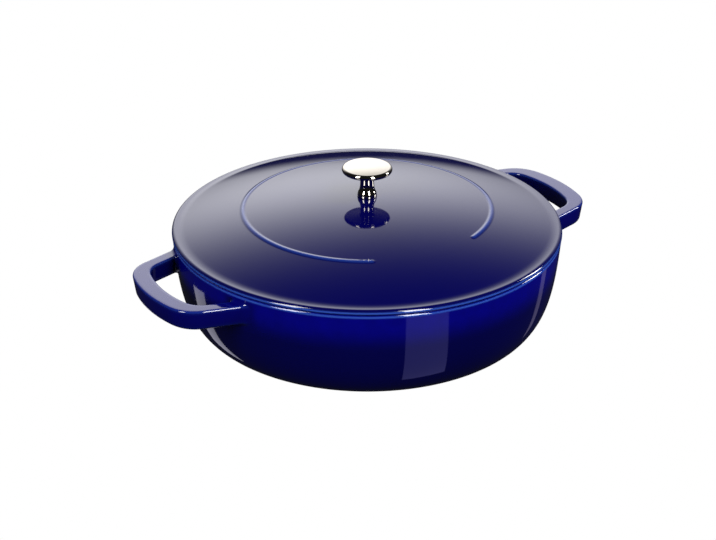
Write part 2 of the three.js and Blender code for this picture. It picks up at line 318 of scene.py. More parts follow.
def finish_of(name):
    """New material with an empty node tree but for its output."""
    material = bpy.data.materials.new(name)
    material.use_nodes = True
    material.node_tree.nodes.clear()
    return material, material.node_tree, add(material.node_tree, "ShaderNodeOutputMaterial")


# Blue vitreous enamel: a clear, glossy coloured glass fused to the black ground coat. It runs thin over
# edges, where it reads a lighter blue. It is a lighter blue on the upper wall and darker lower down and on
# the lid. The handles take less of the lighter blue, and painted shade keeps it almost wholly off the inner
# sides of the loops. It has the faint orange peel of fired enamel, and on the handles the grain of the sand
# casting shows through.
lighter_band_foot = 46  # height on the wall where the blue starts to turn lighter, fully lighter from the next height up
lighter_band_top = 68
handle_depth = 0.6  # share of the upper wall's lighter blue that the handles lack
blue_enamel, tree, output = finish_of("blue_vitreous_enamel")
place = add(tree, "ShaderNodeTexCoord").outputs["Object"]
height = add(tree, "ShaderNodeSeparateXYZ", {"Vector": place}).outputs["Z"]
upper_wall = add(tree, "ShaderNodeMapRange", {
    "Value": height, "From Min": lighter_band_foot * MM, "From Max": lighter_band_top * MM,
}, interpolation_type="SMOOTHSTEP").outputs["Result"]
below_lid = add(tree, "ShaderNodeMath", {
    0: height, 1: (rim_height + 0.1) * MM,
}, operation="LESS_THAN").outputs[0]
grain_and_shade_mark = add(tree, "ShaderNodeAttribute", attribute_name="grain_and_shade").outputs["Fac"]
# Painted shade: the handles take only part of the upper wall's lighter blue, and the inner sides of the loops
# almost none.
wall_share = add(tree, "ShaderNodeMath", {
    0: grain_and_shade_mark, 1: -handle_depth, 2: below_lid,
}, operation="MULTIPLY_ADD", use_clamp=True).outputs[0]
light_zone = add(tree, "ShaderNodeMath", {0: upper_wall, 1: wall_share}, operation="MULTIPLY").outputs[0]
banded_tone = add(tree, "ShaderNodeMix", {
    "Factor": light_zone, "A": linear("#020239"), "B": linear("#030268"),
}, data_type="RGBA")
cloud = add(tree, "ShaderNodeTexNoise", {"Vector": place, "Scale": 1 / (9 * MM), "Detail": 3.0})
cloudy = add(tree, "ShaderNodeMapRange", {
    "Value": cloud.outputs["Fac"], "From Min": 0.3, "From Max": 0.7, "To Min": 0.0, "To Max": 0.22,
})
clouded = add(tree, "ShaderNodeMix", {
    "Factor": cloudy.outputs["Result"], "A": banded_tone.outputs["Result"], "B": linear("#030238"),
}, data_type="RGBA")
drawn = add(tree, "ShaderNodeAttribute", attribute_name="thin").outputs["Fac"]
enamel_colour = add(tree, "ShaderNodeMix", {
    "Factor": drawn, "A": clouded.outputs["Result"], "B": linear("#24408D"),
}, data_type="RGBA")
peel = add(tree, "ShaderNodeTexNoise", {"Vector": place, "Scale": 1 / (3.5 * MM), "Detail": 2.0})
peeled = add(tree, "ShaderNodeBump", {
    "Height": peel.outputs["Fac"], "Strength": 0.05, "Distance": 0.05 * MM,
})
sand = add(tree, "ShaderNodeTexNoise", {"Vector": place, "Scale": 1 / (1.1 * MM), "Detail": 2.0})
sanded = add(tree, "ShaderNodeMath", {0: grain_and_shade_mark, 1: 0.05}, operation="MULTIPLY")
grained = add(tree, "ShaderNodeBump", {
    "Height": sand.outputs["Fac"], "Strength": sanded.outputs[0], "Distance": 0.1 * MM,
    "Normal": peeled.outputs["Normal"],
})
gloss = add(tree, "ShaderNodeMapRange", {
    "Value": cloud.outputs["Fac"], "From Min": 0.3, "From Max": 0.7, "To Min": 0.04, "To Max": 0.08,
})
shader = add(tree, "ShaderNodeBsdfPrincipled", {
    "Base Color": enamel_colour.outputs["Result"], "Roughness": gloss.outputs["Result"], "IOR": 1.5,
    "Normal": grained.outputs["Normal"],
})
tree.links.new(shader.outputs[0], output.inputs["Surface"])

# Matt black enamel: the ground coat, left bare inside, on the rim and underneath. It holds fine pores.
black_enamel, tree, output = finish_of("matt_black_enamel")
place = add(tree, "ShaderNodeTexCoord").outputs["Object"]
pores = add(tree, "ShaderNodeTexNoise", {"Vector": place, "Scale": 1 / (0.9 * MM), "Detail": 3.0})
tone = add(tree, "ShaderNodeMix", {
    "Factor": pores.outputs["Fac"], "A": linear("#08080A"), "B": linear("#1B1B1E"),
}, data_type="RGBA")
pitted = add(tree, "ShaderNodeBump", {
    "Height": pores.outputs["Fac"], "Strength": 0.25, "Distance": 0.12 * MM,
})
matt = add(tree, "ShaderNodeMapRange", {
    "Value": pores.outputs["Fac"], "From Min": 0.3, "From Max": 0.7, "To Min": 0.42, "To Max": 0.6,
})
shader = add(tree, "ShaderNodeBsdfPrincipled", {
    "Base Color": tone.outputs["Result"], "Roughness": matt.outputs["Result"], "IOR": 1.5,
    "Normal": pitted.outputs["Normal"],
})
tree.links.new(shader.outputs[0], output.inputs["Surface"])

# Points that the windows left loose are dropped before the mesh is made.
points, thin, grain_and_shade = (np.concatenate(block) for block in (points, thin, grain_and_shade))
used = np.unique(np.concatenate([np.array(face) for face in faces]))
place_of = np.zeros(len(points), int)
place_of[used] = np.arange(len(used))
mesh = bpy.data.meshes.new("pan_enamelled")
mesh.from_pydata(points[used] * MM, [], [[int(place_of[k]) for k in face] for face in faces])
for name, values in (("thin", thin), ("grain_and_shade", grain_and_shade)):
    mesh.attributes.new(name, "FLOAT", "POINT").data.foreach_set("value", values[used].astype(np.float32))
for material in (blue_enamel, black_enamel):
    mesh.materials.append(material)
mesh.polygons.foreach_set("material_index", np.array(coats, np.int32))
mesh.polygons.foreach_set("use_smooth", np.ones(len(faces), bool))
mesh.update()
pan = bpy.data.objects.new("pan_enamelled", mesh)
bpy.context.scene.collection.objects.link(pan)
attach(pan, "pan")
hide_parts("pan")

# Lid: a second iron casting, a shallow dome with a flat flange that rests on the rim and a ring underneath
# that centres it. A raised bead runs round the top and stops short in front. It has the pan's two enamels.
seat_gap = 0.3  # between pieces that rest on each other
lid_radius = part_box("lid")[1].y / MM
flange_under = rim_height + seat_gap
flange_thickness = 3.5
flange_top = flange_under + flange_thickness
flange_width = 6.6
flange_round = 2.6  # upper edge
under_round = 0.6  # lower edge
dome_foot = lid_radius - flange_width
dome_rise = 21.1
dome_top = flange_top + dome_rise
dome_sphere = (dome_foot ** 2 + dome_rise ** 2) / (2 * dome_rise)
lid_thickness = 3.5
foot_fillet = 3.0
ring_clearance = 1.2
ring_thickness = 3.0
ring_depth = 5.0
ring_round = 1.0
ring_fillet = 0.8  # outside, under the flange
ring_hollow = 2.0  # inside, under the dome
ring_outer = rim_radius - wall_thickness - ring_clearance
ring_inner = ring_outer - ring_thickness
ring_bottom = flange_under - ring_depth
boss_radius = 10.0
boss_height = 0.8
boss_face = dome_top - lid_thickness - boss_height
lid_hole = 3.5
seat_radius = 7.7
bead_radius = 92.5
bead_half_width = 2.6
bead_height = 0.6
bead_opening = 54.0  # degrees
bead_middle = -93.6
bead_thin = 0.4  # how far the enamel has drawn thin over the bead
flange_thin = (0, 0, 0, 0, 0, 0.1, 0.4, 1, 0.7, 0.2)  # and over the flange's edge, from below
lid_facets = 540
lid_crease = math.radians(50)


def dome(r, sphere):
    return dome_top - dome_sphere + np.sqrt(sphere ** 2 - np.asarray(r) ** 2)


def dome_line(radii, sphere):
    return np.stack([radii, dome(radii, sphere)], 1)


under_sphere = dome_sphere - lid_thickness
under_radii = np.linspace(boss_radius + 1, ring_inner - ring_hollow, 22)
bead_radii = bead_radius + np.linspace(-1.15, 1.15, 19) * bead_half_width
top_radii = np.concatenate([
    np.linspace(dome_foot - foot_fillet, bead_radii[-1], 14)[:-1],
    bead_radii[::-1],
    np.linspace(bead_radii[0], seat_radius, 24)[1:],
])
blend = np.linspace(0, 1, 9)[:, None]
foot_line = (
    (1 - blend) ** 2 * (dome_foot + foot_fillet, flange_top)
    + 2 * blend * (1 - blend) * (dome_foot, flange_top)
    + blend ** 2 * (dome_foot - foot_fillet, dome(dome_foot - foot_fillet, dome_sphere))
)
seat_height = float(dome(seat_radius, dome_sphere))
corner_height = float(dome(ring_inner - ring_hollow, under_sphere)) - ring_hollow

# Both halves of the profile have points a little way before and after an edge, which keep the shading crisp.
lid_under = np.concatenate([
    [(lid_hole, boss_face), (lid_hole + 0.4, boss_face), (boss_radius - 0.6, boss_face)],
    [(boss_radius, boss_face + 0.15), (boss_radius + 0.5, boss_face + 0.45)],
    dome_line(under_radii, under_sphere),
    arc(ring_inner - ring_hollow, corner_height, ring_hollow, 90, 0, 6)[1:],
    [(ring_inner, ring_bottom + ring_round + 0.4)],
    arc(ring_inner + ring_round, ring_bottom + ring_round, ring_round, 180, 270, 5),
    arc(ring_outer - ring_round, ring_bottom + ring_round, ring_round, 270, 360, 5),
    [(ring_outer, flange_under - ring_fillet - 0.4)],
    arc(ring_outer + ring_fillet, flange_under - ring_fillet, ring_fillet, 180, 90, 4),
    [(ring_outer + ring_fillet + 0.4, flange_under), (lid_radius - under_round - 0.3, flange_under)],
])
lid_over = np.concatenate([
    arc(lid_radius - under_round, flange_under + under_round, under_round, -90, 0, 5),
    arc(lid_radius - flange_round, flange_top - flange_round, flange_round, 0, 90, 9),
    [(lid_radius - flange_round - 0.3, flange_top)],
    foot_line,
    dome_line(top_radii[1:], dome_sphere),
    [(lid_hole + 0.4, seat_height), (lid_hole, seat_height), (lid_hole, boss_face)],
])
lid_profile = np.concatenate([lid_under, lid_over])
lid_thin = np.zeros(len(lid_profile))
lid_thin[len(lid_under):len(lid_under) + len(flange_thin)] = flange_thin
lid_black = (np.arange(len(lid_profile)) < len(lid_under)).astype(float)


def profile_object(name, profile, **marks):
    """Object whose points are a profile in order, with a mark on each point for the finish."""
    line = bpy.data.meshes.new(name)
    line.from_pydata([(r * MM, 0.0, z * MM) for r, z in profile], [], [])
    for mark, values in marks.items():
        line.attributes.new(mark, "FLOAT", "POINT").data.foreach_set("value", np.asarray(values, np.float32))
    piece = bpy.data.objects.new(name, line)
    bpy.context.scene.collection.objects.link(piece)
    return piece


def new_tree(name, **sockets):
    """Geometry Nodes tree that takes and gives a mesh, with named inputs."""
    group = bpy.data.node_groups.new(name, "GeometryNodeTree")
    group.interface.new_socket("Mesh", in_out="OUTPUT", socket_type="NodeSocketGeometry")
    group.interface.new_socket("Mesh", in_out="INPUT", socket_type="NodeSocketGeometry")
    for socket, kind in sockets.items():
        group.interface.new_socket(socket, in_out="INPUT", socket_type="NodeSocket" + kind)
    return group, add(group, "NodeGroupInput").outputs


def grow(piece, group, **values):
    """Puts a tree on a piece with its inputs set."""
    modifier = piece.modifiers.new(group.name, "NODES")
    modifier.node_group = group
    for item in group.interface.items_tree:
        if item.in_out == "INPUT" and item.name in values:
            modifier[item.identifier] = values[item.name]


def settle(piece):
    """Turns what the trees made into the piece's plain mesh."""
    graph = bpy.context.evaluated_depsgraph_get()
    grown = piece.evaluated_get(graph)
    made = bpy.data.meshes.new_from_object(grown, preserve_all_data_layers=True, depsgraph=graph)
    piece.modifiers.clear()
    piece.data = made
    made.name = piece.name


def crease(group, shape, limit):
    """Shades a mesh smooth, but for edges that bend by more than the limit."""
    smooth = add(group, "GeometryNodeSetShadeSmooth", {"Geometry": shape}).outputs[0]
    bend = add(group, "GeometryNodeInputMeshEdgeAngle").outputs["Unsigned Angle"]
    sharp = add(group, "ShaderNodeMath", {0: bend, 1: limit}, operation="GREATER_THAN").outputs[0]
    return add(group, "GeometryNodeSetShadeSmooth", {
        "Geometry": smooth, "Selection": sharp, "Shade Smooth": False,
    }, domain="EDGE").outputs[0]


# Turning: the profile's points are carried round the Z axis on a grid, which is closed where its ends meet.
turning, given = new_tree("turned_profile", Facets="Int", Crease="Float", Finish="Material", Inner="Material")
count = add(turning, "GeometryNodeAttributeDomainSize", {"Geometry": given["Mesh"]}).outputs["Point Count"]
columns = add(turning, "ShaderNodeMath", {0: given["Facets"], 1: 1.0}, operation="ADD").outputs[0]
grid = add(turning, "GeometryNodeMeshGrid", {"Vertices X": columns, "Vertices Y": count}).outputs["Mesh"]
number = add(turning, "GeometryNodeInputIndex").outputs[0]
row = add(turning, "ShaderNodeMath", {0: number, 1: count}, operation="MODULO").outputs[0]
share = add(turning, "ShaderNodeMath", {0: number, 1: count}, operation="DIVIDE").outputs[0]
column = add(turning, "ShaderNodeMath", {0: share}, operation="FLOOR").outputs[0]
part_turn = add(turning, "ShaderNodeMath", {0: column, 1: given["Facets"]}, operation="DIVIDE").outputs[0]
angle = add(turning, "ShaderNodeMath", {0: part_turn, 1: math.tau}, operation="MULTIPLY").outputs[0]
spot = add(turning, "GeometryNodeSampleIndex", {
    "Geometry": given["Mesh"], "Value": add(turning, "GeometryNodeInputPosition").outputs[0], "Index": row,
}, data_type="FLOAT_VECTOR")
turned = add(turning, "ShaderNodeVectorRotate", {
    "Vector": spot.outputs[0], "Angle": angle,
}, rotation_type="Z_AXIS")
shape = add(turning, "GeometryNodeSetPosition", {"Geometry": grid, "Position": turned.outputs[0]}).outputs[0]
for mark in ("thin", "black"):
    on_profile = add(turning, "GeometryNodeInputNamedAttribute", {"Name": mark})
    carried = add(turning, "GeometryNodeSampleIndex", {
        "Geometry": given["Mesh"], "Value": on_profile.outputs["Attribute"], "Index": row,
    })
    shape = add(turning, "GeometryNodeStoreNamedAttribute", {
        "Geometry": shape, "Name": mark, "Value": carried.outputs[0],
    }).outputs[0]
closed = add(turning, "GeometryNodeMergeByDistance", {"Geometry": shape, "Distance": 1e-6}).outputs[0]
coated = add(turning, "GeometryNodeSetMaterial", {
    "Geometry": crease(turning, closed, given["Crease"]), "Material": given["Finish"],
}).outputs[0]
bare = add(turning, "GeometryNodeInputNamedAttribute", {"Name": "black"}).outputs["Attribute"]
ground = add(turning, "ShaderNodeMath", {0: bare, 1: 0.75}, operation="GREATER_THAN").outputs[0]
coated = add(turning, "GeometryNodeSetMaterial", {
    "Geometry": coated, "Selection": ground, "Material": given["Inner"],
}).outputs[0]
add(turning, "NodeGroupOutput", {"Mesh": coated})

# Raised bead: the top is lifted in a soft ridge about a circle, and the ridge ends round on each side of its
# opening.
beading, given = new_tree(
    "raised_bead", Radius="Float", Reach="Float", Height="Float", Opening="Float", Middle="Float",
    Thin="Float",
)
x, y, z = add(beading, "ShaderNodeSeparateXYZ", {
    "Vector": add(beading, "GeometryNodeInputPosition").outputs[0],
}).outputs
heading = add(beading, "ShaderNodeMath", {0: y, 1: x}, operation="ARCTAN2").outputs[0]
heading = add(beading, "ShaderNodeMath", {0: heading, 1: given["Middle"]}, operation="SUBTRACT").outputs[0]
heading = add(beading, "ShaderNodeMath", {0: heading, 1: math.pi, 2: -math.pi}, operation="WRAP").outputs[0]
heading = add(beading, "ShaderNodeMath", {0: heading}, operation="ABSOLUTE").outputs[0]
half_opening = add(beading, "ShaderNodeMath", {0: given["Opening"], 1: 0.5}, operation="MULTIPLY").outputs[0]
beyond = add(beading, "ShaderNodeMath", {0: half_opening, 1: heading}, operation="SUBTRACT").outputs[0]
beyond = add(beading, "ShaderNodeMath", {0: beyond, 1: 0.0}, operation="MAXIMUM").outputs[0]
beyond = add(beading, "ShaderNodeMath", {0: beyond, 1: given["Radius"]}, operation="MULTIPLY").outputs[0]
flat_place = add(beading, "ShaderNodeCombineXYZ", {"X": x, "Y": y})
from_axis = add(beading, "ShaderNodeVectorMath", {
    0: flat_place.outputs[0],
}, operation="LENGTH").outputs["Value"]
aside = add(beading, "ShaderNodeMath", {0: from_axis, 1: given["Radius"]}, operation="SUBTRACT").outputs[0]
offset = add(beading, "ShaderNodeCombineXYZ", {"X": aside, "Y": beyond})
distance = add(beading, "ShaderNodeVectorMath", {0: offset.outputs[0]}, operation="LENGTH").outputs["Value"]
share = add(beading, "ShaderNodeMath", {
    0: distance, 1: given["Reach"],
}, operation="DIVIDE", use_clamp=True).outputs[0]
swing = add(beading, "ShaderNodeMath", {0: share, 1: math.pi}, operation="MULTIPLY").outputs[0]
swing = add(beading, "ShaderNodeMath", {0: swing}, operation="COSINE").outputs[0]
ridge = add(beading, "ShaderNodeMath", {0: swing, 1: 0.5, 2: 0.5}, operation="MULTIPLY_ADD").outputs[0]
under = add(beading, "GeometryNodeInputNamedAttribute", {"Name": "black"}).outputs["Attribute"]
on_top = add(beading, "ShaderNodeMath", {0: 1.0, 1: under}, operation="SUBTRACT").outputs[0]
ridge = add(beading, "ShaderNodeMath", {0: ridge, 1: on_top}, operation="MULTIPLY").outputs[0]
old_thin = add(beading, "GeometryNodeInputNamedAttribute", {"Name": "thin"}).outputs["Attribute"]
ridge_thin = add(beading, "ShaderNodeMath", {0: ridge, 1: given["Thin"]}, operation="MULTIPLY").outputs[0]
new_thin = add(beading, "ShaderNodeMath", {0: ridge_thin, 1: old_thin}, operation="MAXIMUM").outputs[0]
marked = add(beading, "GeometryNodeStoreNamedAttribute", {
    "Geometry": given["Mesh"], "Name": "thin", "Value": new_thin,
}).outputs[0]
lift = add(beading, "ShaderNodeMath", {0: ridge, 1: given["Height"]}, operation="MULTIPLY").outputs[0]
raised = add(beading, "GeometryNodeSetPosition", {
    "Geometry": marked, "Offset": add(beading, "ShaderNodeCombineXYZ", {"Z": lift}).outputs[0],
}).outputs[0]
add(beading, "NodeGroupOutput", {"Mesh": raised})

# Basting nubs: blunt bumps in rings under the dome, which gather condensed steam and drip it on the food.
nub_first_radius = 36.0
nub_pitch = 26.0
nub_spacing = 42.0
nub_rings = 4
nub_radius = 3.2
nub_height = 3.0
nubbing, given = new_tree(
    "basting_nubs", First="Float", Pitch="Float", Spacing="Float", Nub="Vector", Sphere="Float",
    Centre="Float", Finish="Material",
)
rows = []
for k in range(nub_rings):
    radius = add(nubbing, "ShaderNodeMath", {0: given["Pitch"], 1: float(k), 2: given["First"]},
                 operation="MULTIPLY_ADD").outputs[0]
    length = add(nubbing, "ShaderNodeMath", {0: radius, 1: math.tau}, operation="MULTIPLY").outputs[0]
    shares = add(nubbing, "ShaderNodeMath", {0: length, 1: given["Spacing"]}, operation="DIVIDE").outputs[0]
    nubs = add(nubbing, "ShaderNodeMath", {0: shares}, operation="ROUND").outputs[0]
    circle = add(nubbing, "GeometryNodeMeshCircle", {"Vertices": nubs, "Radius": radius}).outputs[0]
    squared = add(nubbing, "ShaderNodeMath", {0: radius, 1: 2.0}, operation="POWER").outputs[0]
    sphere = add(nubbing, "ShaderNodeMath", {0: given["Sphere"], 1: 2.0}, operation="POWER").outputs[0]
    rest = add(nubbing, "ShaderNodeMath", {0: sphere, 1: squared}, operation="SUBTRACT").outputs[0]
    rise = add(nubbing, "ShaderNodeMath", {0: rest}, operation="SQRT").outputs[0]
    level = add(nubbing, "ShaderNodeMath", {0: rise, 1: given["Centre"]}, operation="ADD").outputs[0]
    lifted = add(nubbing, "GeometryNodeSetPosition", {
        "Geometry": circle, "Offset": add(nubbing, "ShaderNodeCombineXYZ", {"Z": level}).outputs[0],
    })
    rows.append(lifted.outputs[0])
spots = add(nubbing, "GeometryNodeJoinGeometry")
for row in rows:
    nubbing.links.new(row, spots.inputs[0])
ball = add(nubbing, "GeometryNodeMeshUVSphere", {"Segments": 16, "Rings": 10, "Radius": 1.0}).outputs["Mesh"]
ball = add(nubbing, "GeometryNodeSetShadeSmooth", {"Geometry": ball}).outputs[0]
set_out = add(nubbing, "GeometryNodeInstanceOnPoints", {
    "Points": spots.outputs[0], "Instance": ball, "Scale": given["Nub"],
}).outputs[0]
real = add(nubbing, "GeometryNodeRealizeInstances", {"Geometry": set_out}).outputs[0]
coated = add(nubbing, "GeometryNodeSetMaterial", {"Geometry": real, "Material": given["Finish"]}).outputs[0]
whole = add(nubbing, "GeometryNodeJoinGeometry")
nubbing.links.new(coated, whole.inputs[0])
nubbing.links.new(given["Mesh"], whole.inputs[0])
add(nubbing, "NodeGroupOutput", {"Mesh": whole.outputs[0]})

lid = profile_object("lid_enamelled", lid_profile, thin=lid_thin, black=lid_black)
grow(lid, turning, Facets=lid_facets, Crease=lid_crease, Finish=blue_enamel, Inner=black_enamel)
grow(lid, beading, Radius=bead_radius * MM, Reach=bead_half_width * MM, Height=bead_height * MM,
     Opening=math.radians(bead_opening), Middle=math.radians(bead_middle), Thin=bead_thin)
grow(lid, nubbing, First=nub_first_radius * MM, Pitch=nub_pitch * MM, Spacing=nub_spacing * MM,
     Nub=(nub_radius * MM, nub_radius * MM, nub_height * MM), Sphere=under_sphere * MM,
     Centre=(dome_top - dome_sphere) * MM, Finish=black_enamel)
settle(lid)
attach(lid, "lid")
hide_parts("lid")

# Knob: turned from metal bar, nickel plated and polished to a mirror. Its foot flares out of a slim neck and
# stands on the dome, its head has a round edge and a faint crown, and a blind bore takes the screw.
knob_seat = seat_height + seat_gap
knob_height = 24.1
head_radius = 18.7
head_thickness = 5.0
crown_rise = 0.8
head_cone = 0.8
neck_radius = 5.2
neck_height = 12.0
neck_fillet = 1.8
foot_radius = 7.25
foot_round = 0.3
flare_radius = 6.4  # where the foot's curve passes into the neck's
flare_heights = (3.0, 4.4, 6.4)  # of the foot curve's control, the passing point and the neck curve's control
bore_radius = 3.3
bore_depth = 12.2
knob_facets = 128
turned_crease = math.radians(50)


def quadratic_line(a, b, c, steps):
    return quadratic(np.array(a), np.array(b), np.array(c), steps)[0]


head_under = knob_seat + knob_height - crown_rise - head_thickness
edge_radius = (head_thickness - head_cone) / 2
edge_middle = head_under + (head_thickness + head_cone) / 2
flare_radii = (foot_radius, flare_radius, neck_radius)
flare_lower, flare_middle, flare_upper = [(r, knob_seat + z) for r, z in zip(flare_radii, flare_heights)]
head_edge = arc(head_radius - edge_radius, edge_middle, edge_radius, -90, 90, 18)
knob_top = knob_seat + knob_height
knob_profile = np.concatenate([
    [(0, knob_seat + bore_depth), (bore_radius, knob_seat + bore_depth), (bore_radius, knob_seat)],
    arc(foot_radius - foot_round, knob_seat + foot_round, foot_round, -90, 0, 5),
    quadratic_line((foot_radius, knob_seat + foot_round), flare_lower, flare_middle, 10)[1:],
    quadratic_line(flare_middle, flare_upper, (neck_radius, knob_seat + neck_height), 12)[1:],
    quadratic_line((neck_radius, head_under - neck_fillet), (neck_radius, head_under),
                   (neck_radius + neck_fillet, head_under), 10),
    [(head_radius - edge_radius - 0.6, head_under + head_cone * 0.95)],
    head_edge,
    quadratic_line(head_edge[-1], (head_radius / 2, knob_top), (0, knob_top), 12)[1:],
])

# Polished nickel: a warm mirror that keeps the faintest trace of the lathe in rings about its axis.
nickel, tree, output = finish_of("polished_nickel")
place = add(tree, "ShaderNodeTexCoord").outputs["Object"]
lathe = add(tree, "ShaderNodeTexWave", {
    "Vector": place, "Scale": 1 / (0.9 * MM) / 20, "Distortion": 0.4, "Detail": 1.0,
}, wave_type="RINGS", rings_direction="Z")
smear = add(tree, "ShaderNodeTexNoise", {"Vector": place, "Scale": 1 / (4 * MM), "Detail": 3.0})
tone = add(tree, "ShaderNodeMix", {
    "Factor": smear.outputs["Fac"], "A": linear("#ABA59B"), "B": linear("#B3ADA3"),
}, data_type="RGBA")
polish = add(tree, "ShaderNodeMapRange", {
    "Value": smear.outputs["Fac"], "From Min": 0.3, "From Max": 0.7, "To Min": 0.03, "To Max": 0.07,
})
traced = add(tree, "ShaderNodeBump", {
    "Height": lathe.outputs["Fac"], "Strength": 0.02, "Distance": 0.02 * MM,
})
shader = add(tree, "ShaderNodeBsdfPrincipled", {
    "Base Color": tone.outputs["Result"], "Metallic": 1.0, "Roughness": polish.outputs["Result"],
    "Normal": traced.outputs["Normal"],
})
tree.links.new(shader.outputs[0], output.inputs["Surface"])

knob = profile_object("knob_polished", knob_profile)
grow(knob, turning, Facets=knob_facets, Crease=turned_crease, Finish=nickel)
settle(knob)
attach(knob, "lid")
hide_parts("knob")

# Flat washer: a stamped ring of zinc-plated steel, tumbled so that its edges are round. It lies against the
# pad under the lid, and spreads the screw's pull over the enamel there.
washer_top = boss_face - seat_gap
washer_thickness = 1.2
washer_radius = 7.0
washer_round = 0.25
fastener_facets = 64
washer_low = washer_top - washer_thickness + washer_round
washer_high = washer_top - washer_round
washer_profile = np.concatenate([
    arc(bore_radius + washer_round, washer_low, washer_round, 180, 270, 3),
    arc(washer_radius - washer_round, washer_low, washer_round, 270, 360, 3),
    arc(washer_radius - washer_round, washer_high, washer_round, 0, 90, 3),
    arc(bore_radius + washer_round, washer_high, washer_round, 90, 180, 3),
    [(bore_radius, washer_low)],
])

# Zinc-plated steel: satin, cool grey, with a faint bloom of patches in the plating.
zinc, tree, output = finish_of("zinc_plated_steel")
place = add(tree, "ShaderNodeTexCoord").outputs["Object"]
bloom = add(tree, "ShaderNodeTexNoise", {"Vector": place, "Scale": 1 / (2.2 * MM), "Detail": 4.0})
tone = add(tree, "ShaderNodeMix", {
    "Factor": bloom.outputs["Fac"], "A": linear("#A9ACB1"), "B": linear("#C3C5C8"),
}, data_type="RGBA")
satin = add(tree, "ShaderNodeMapRange", {
    "Value": bloom.outputs["Fac"], "From Min": 0.3, "From Max": 0.7, "To Min": 0.26, "To Max": 0.42,
})
rough = add(tree, "ShaderNodeBump", {
    "Height": bloom.outputs["Fac"], "Strength": 0.08, "Distance": 0.03 * MM,
})
shader = add(tree, "ShaderNodeBsdfPrincipled", {
    "Base Color": tone.outputs["Result"], "Metallic": 1.0, "Roughness": satin.outputs["Result"],
    "Normal": rough.outputs["Normal"],
})
tree.links.new(shader.outputs[0], output.inputs["Surface"])

flat_washer = profile_object("flat_washer_zinced", washer_profile)
grow(flat_washer, turning, Facets=fastener_facets, Crease=turned_crease, Finish=zinc)
settle(flat_washer)
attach(flat_washer, "lid")
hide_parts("flat_washer")

# Spring washer: flat zinc-plated steel wire wound into one split turn, which the tightened screw has drawn
# level. It lies between the flat washer and the screw's head, and keeps the screw from working loose.
spring_top = washer_top - washer_thickness - seat_gap
spring_thickness = 1.6
spring_width = 2.2
spring_round = 0.25
spring_split = 20.0  # degrees
spring_points = 61
spring_radius = bore_radius + spring_width / 2
coiling, given = new_tree(
    "split_ring", Radius="Float", Width="Float", Thickness="Float", Round="Float", Sweep="Float",
    Level="Float", Finish="Material",
)
ring = add(coiling, "GeometryNodeCurveArc", {
    "Resolution": spring_points, "Radius": given["Radius"], "Start Angle": 0.0,
    "Sweep Angle": given["Sweep"],
}).outputs["Curve"]
wire = add(coiling, "GeometryNodeCurvePrimitiveQuadrilateral", {
    "Width": given["Width"], "Height": given["Thickness"],
}).outputs[0]
wire = add(coiling, "GeometryNodeFilletCurve", {
    "Curve": wire, "Count": 3, "Radius": given["Round"],
}, mode="POLY").outputs[0]
skin = add(coiling, "GeometryNodeCurveToMesh", {
    "Curve": ring, "Profile Curve": wire, "Fill Caps": True,
}).outputs[0]
seated = add(coiling, "GeometryNodeSetPosition", {
    "Geometry": skin, "Offset": add(coiling, "ShaderNodeCombineXYZ", {"Z": given["Level"]}).outputs[0],
}).outputs[0]
coated = add(coiling, "GeometryNodeSetMaterial", {
    "Geometry": crease(coiling, seated, turned_crease), "Material": given["Finish"],
}).outputs[0]
add(coiling, "NodeGroupOutput", {"Mesh": coated})

spring_washer = profile_object("spring_washer_zinced", [])
grow(spring_washer, coiling, Radius=spring_radius * MM, Width=spring_width * MM,
     Thickness=spring_thickness * MM, Round=spring_round * MM, Sweep=math.radians(360 - spring_split),
     Level=(spring_top - spring_thickness / 2) * MM, Finish=zinc)
settle(spring_washer)
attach(spring_washer, "lid")
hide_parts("spring_washer")

# Knob screw: a round-headed M6 screw of zinc-plated steel with a straight slot. It is driven up through the
# washers and the lid into the knob's bore.
screw_radius = 3.0
screw_reach = 10.7
screw_chamfer = 0.6
screw_head_height = 3.5
screw_head_radius = 5.5
screw_head_rings = (0, 1.5, 3.4)  # radii of the mesh's rings on the flat of the head
screw_head_round = 1.4
screw_back_round = 0.25
slot_width = 1.6
slot_depth = 1.6
slot_length = 20  # of the cutter, longer than the head is wide
screw_crease = math.radians(35)
screw_back = spring_top - spring_thickness - seat_gap
screw_front = screw_back - screw_head_height
screw_tip = knob_seat + screw_reach
screw_profile = np.concatenate([
    [(r, screw_front) for r in screw_head_rings],
    arc(screw_head_radius - screw_head_round, screw_front + screw_head_round, screw_head_round, -90, 0, 8),
    arc(screw_head_radius - screw_back_round, screw_back - screw_back_round, screw_back_round, 0, 90, 3),
    [(screw_radius + 0.3, screw_back), (screw_radius, screw_back)],
    [(screw_radius, screw_tip - screw_chamfer), (screw_radius - screw_chamfer, screw_tip), (0, screw_tip)],
])
slotting, given = new_tree("driver_slot", Slot="Vector", Level="Float", Finish="Material")
cutter = add(slotting, "GeometryNodeMeshCube", {"Size": given["Slot"]}).outputs["Mesh"]
cutter = add(slotting, "GeometryNodeSetPosition", {
    "Geometry": cutter, "Offset": add(slotting, "ShaderNodeCombineXYZ", {"Z": given["Level"]}).outputs[0],
}).outputs[0]
cutter = add(slotting, "GeometryNodeSetMaterial", {
    "Geometry": cutter, "Material": given["Finish"],
}).outputs[0]
slotted = add(slotting, "GeometryNodeMeshBoolean", {
    "Mesh 1": given["Mesh"], "Mesh 2": cutter,
}, operation="DIFFERENCE").outputs["Mesh"]
add(slotting, "NodeGroupOutput", {"Mesh": crease(slotting, slotted, screw_crease)})

knob_screw = profile_object("knob_screw_zinced", screw_profile)
grow(knob_screw, turning, Facets=fastener_facets, Crease=screw_crease, Finish=zinc)
grow(knob_screw, slotting, Slot=(slot_length * MM, slot_width * MM, 2 * slot_depth * MM),
     Level=screw_front * MM, Finish=zinc)
settle(knob_screw)
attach(knob_screw, "lid")
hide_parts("knob_screw")

